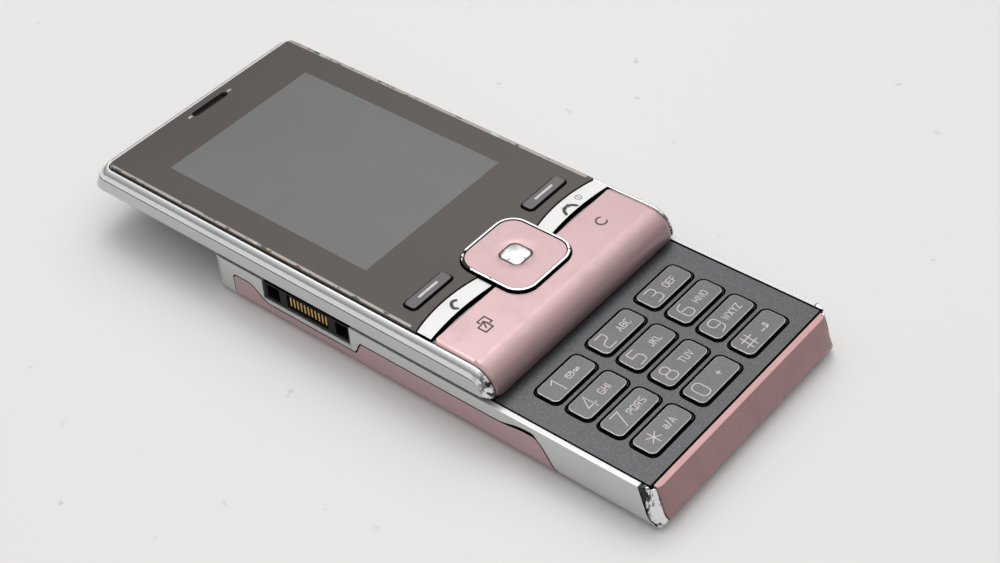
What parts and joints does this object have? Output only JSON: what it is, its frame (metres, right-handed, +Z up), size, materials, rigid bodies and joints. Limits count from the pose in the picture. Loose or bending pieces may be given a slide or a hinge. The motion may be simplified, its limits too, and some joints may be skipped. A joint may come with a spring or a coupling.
{
  "type": "slider phone",
  "caption": "Slider phone, open: a windowed upper half with a square navigation key runs on folded steel rails over a keypad base with a wrap-round battery cover.",
  "frame": {"origin": "centre of the base's back face, on the surface that the phone lies on", "axes": "+X to the phone's right, +Y towards the earpiece end, +Z up out of the screen"},
  "size_m": [0.0485, 0.1212, 0.0143],
  "materials": {
    "pink_shell": "satin",
    "pink_cap": "satin",
    "silver_shell": "satin",
    "chrome_trim": "polished",
    "window": "gloss",
    "display": "gloss",
    "keypad": "textured metallic",
    "keycaps": "metallic lacquer",
    "white_keys": "gloss",
    "soft_keys": "gloss",
    "silicone": "matt",
    "steel": "brushed",
    "black_plastic": "matt",
    "light_plastic": "matt",
    "board": "satin",
    "contacts": "gold plated",
    "flex": "satin film"
  },
  "bodies": {
    "base": {"base_frame": "silver_shell", "keypad_plate": "keypad", "keypad_mat": "silicone", "key_domes": "steel", "end_cap": "pink_cap", "corner_trims": "chrome_trim", "camera_ring": "chrome_trim", "chassis": "black_plastic", "main_board": "board", "shield_can": "steel", "connector_shell": "black_plastic", "connector_pins": "contacts", "battery": "black_plastic", "battery_contacts": "contacts", "sim_holder": "steel", "memory_slot": "steel", "camera_module": "black_plastic", "loudspeaker": "black_plastic", "vibration_motor": "steel", "antenna": "light_plastic", "microphone": "steel", "rail_plate": "steel", "guide_shoes": "light_plastic", "base_screws": "steel", "assist_springs": "steel", "slider_flex": "flex"},
    "slider": {"slide_plate": "steel", "slider_screws": "steel", "slider_back": "silver_shell", "slider_frame": "chrome_trim", "front_window": "window", "display_module": "display", "display_frame": "light_plastic", "earpiece_mesh": "black_plastic", "earpiece": "black_plastic", "slider_board": "board"},
    "cover": {"back_cover": "pink_shell"},
    "chin": {"chin_panel": "pink_shell"},
    "nav_gimbal": {"nav_carrier": "silicone"},
    "nav": {"nav_key": "pink_shell", "nav_rim": "chrome_trim"},
    "select": {"select_key": "chrome_trim"},
    "soft_left": {"soft_key_left": "soft_keys"},
    "soft_right": {"soft_key_right": "soft_keys"},
    "call": {"call_key": "white_keys"},
    "end": {"end_key": "white_keys"},
    "volume": {"volume_key": "silver_shell"},
    "camera_button": {"camera_key": "silver_shell"},
    "key_1_cap": {"key_1": "keycaps"},
    "key_2_cap": {"key_2": "keycaps"},
    "key_3_cap": {"key_3": "keycaps"},
    "key_4_cap": {"key_4": "keycaps"},
    "key_5_cap": {"key_5": "keycaps"},
    "key_6_cap": {"key_6": "keycaps"},
    "key_7_cap": {"key_7": "keycaps"},
    "key_8_cap": {"key_8": "keycaps"},
    "key_9_cap": {"key_9": "keycaps"},
    "key_star_cap": {"key_star": "keycaps"},
    "key_0_cap": {"key_0": "keycaps"},
    "key_hash_cap": {"key_hash": "keycaps"}
  },
  "joints": [
    {"name": "slider_slide", "type": "slide", "parent": "base", "child": "slider", "axis": [0, 1, 0], "range_m": [-0.029, 0], "deforming": ["slider_flex", "assist_springs"]},
    {"name": "cover_lift_off", "type": "slide", "parent": "base", "child": "cover", "axis": [0, 0, -1], "range_m": [0, 0.012]},
    {"name": "chin_rock", "type": "hinge", "parent": "slider", "child": "chin", "pos_m": [0, -0.009, 0.0116], "axis": [0, 1, 0], "range_deg": [-0.5, 0.5], "stiffness_Nm_per_rad": 3},
    {"name": "nav_tilt_up_down", "type": "hinge", "parent": "slider", "child": "nav_gimbal", "pos_m": [0, -0.0006, 0.0119], "axis": [1, 0, 0], "range_deg": [-1.2, 1.2], "stiffness_Nm_per_rad": 0.4},
    {"name": "nav_tilt_left_right", "type": "hinge", "parent": "nav_gimbal", "child": "nav", "pos_m": [0, -0.0006, 0.0122], "axis": [0, 1, 0], "range_deg": [-1.2, 1.2], "stiffness_Nm_per_rad": 0.4},
    {"name": "select_press", "type": "slide", "parent": "nav", "child": "select", "axis": [0, 0, -1], "range_m": [0, 0.00025], "stiffness_N_per_m": 300},
    {"name": "soft_left_press", "type": "slide", "parent": "slider", "child": "soft_left", "axis": [0, 0, -1], "range_m": [0, 0.00025], "stiffness_N_per_m": 250},
    {"name": "soft_right_press", "type": "slide", "parent": "slider", "child": "soft_right", "axis": [0, 0, -1], "range_m": [0, 0.00025], "stiffness_N_per_m": 250},
    {"name": "call_press", "type": "slide", "parent": "slider", "child": "call", "axis": [0, 0, -1], "range_m": [0, 0.00025], "stiffness_N_per_m": 250},
    {"name": "end_press", "type": "slide", "parent": "slider", "child": "end", "axis": [0, 0, -1], "range_m": [0, 0.00025], "stiffness_N_per_m": 250},
    {"name": "volume_rock", "type": "hinge", "parent": "base", "child": "volume", "pos_m": [0.022, 0.02405, 0.00545], "axis": [0, 0, 1], "range_deg": [-1.2, 1.2], "stiffness_Nm_per_rad": 0.4},
    {"name": "camera_press", "type": "slide", "parent": "base", "child": "camera_button", "axis": [-1, 0, 0], "range_m": [0, 0.0003], "stiffness_N_per_m": 250},
    {"name": "key_1_press", "type": "slide", "parent": "base", "child": "key_1_cap", "axis": [0, 0, -1], "range_m": [0, 0.0003], "stiffness_N_per_m": 250},
    {"name": "key_2_press", "type": "slide", "parent": "base", "child": "key_2_cap", "axis": [0, 0, -1], "range_m": [0, 0.0003], "stiffness_N_per_m": 250},
    {"name": "key_3_press", "type": "slide", "parent": "base", "child": "key_3_cap", "axis": [0, 0, -1], "range_m": [0, 0.0003], "stiffness_N_per_m": 250},
    {"name": "key_4_press", "type": "slide", "parent": "base", "child": "key_4_cap", "axis": [0, 0, -1], "range_m": [0, 0.0003], "stiffness_N_per_m": 250},
    {"name": "key_5_press", "type": "slide", "parent": "base", "child": "key_5_cap", "axis": [0, 0, -1], "range_m": [0, 0.0003], "stiffness_N_per_m": 250},
    {"name": "key_6_press", "type": "slide", "parent": "base", "child": "key_6_cap", "axis": [0, 0, -1], "range_m": [0, 0.0003], "stiffness_N_per_m": 250},
    {"name": "key_7_press", "type": "slide", "parent": "base", "child": "key_7_cap", "axis": [0, 0, -1], "range_m": [0, 0.0003], "stiffness_N_per_m": 250},
    {"name": "key_8_press", "type": "slide", "parent": "base", "child": "key_8_cap", "axis": [0, 0, -1], "range_m": [0, 0.0003], "stiffness_N_per_m": 250},
    {"name": "key_9_press", "type": "slide", "parent": "base", "child": "key_9_cap", "axis": [0, 0, -1], "range_m": [0, 0.0003], "stiffness_N_per_m": 250},
    {"name": "key_star_press", "type": "slide", "parent": "base", "child": "key_star_cap", "axis": [0, 0, -1], "range_m": [0, 0.0003], "stiffness_N_per_m": 250},
    {"name": "key_0_press", "type": "slide", "parent": "base", "child": "key_0_cap", "axis": [0, 0, -1], "range_m": [0, 0.0003], "stiffness_N_per_m": 250},
    {"name": "key_hash_press", "type": "slide", "parent": "base", "child": "key_hash_cap", "axis": [0, 0, -1], "range_m": [0, 0.0003], "stiffness_N_per_m": 250}
  ]
}
